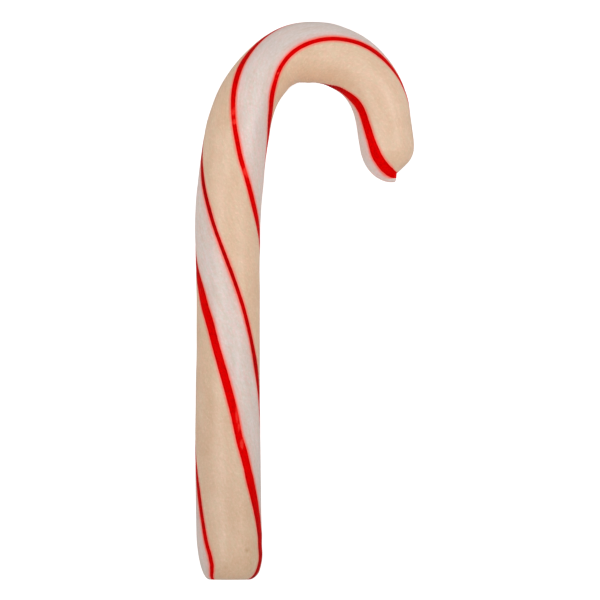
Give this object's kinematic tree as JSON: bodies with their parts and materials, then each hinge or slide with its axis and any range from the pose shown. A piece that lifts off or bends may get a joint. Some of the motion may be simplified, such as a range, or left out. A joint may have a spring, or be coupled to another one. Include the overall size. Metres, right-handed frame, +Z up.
{
  "type": "candy cane",
  "caption": "Hand-pulled candy cane: a thick round sugar stick with a bent hook, square-cut foot and pinched tip, banded in beige and white with red spiral lines.",
  "frame": {"origin": "middle of the bounding box, on the surface that the cane lies on", "axes": "+Y along the straight shaft from the foot towards the hook; +Z up, out of the side that shows; the hook bends over towards +X"},
  "size_m": [0.055, 0.14, 0.0162],
  "materials": {
    "pulled_sugar": "satin pulled sugar, beige and off-white bands edged with thin red spiral lines"
  },
  "bodies": {
    "root": {"candy_cane": "pulled_sugar"}
  },
  "joints": []
}
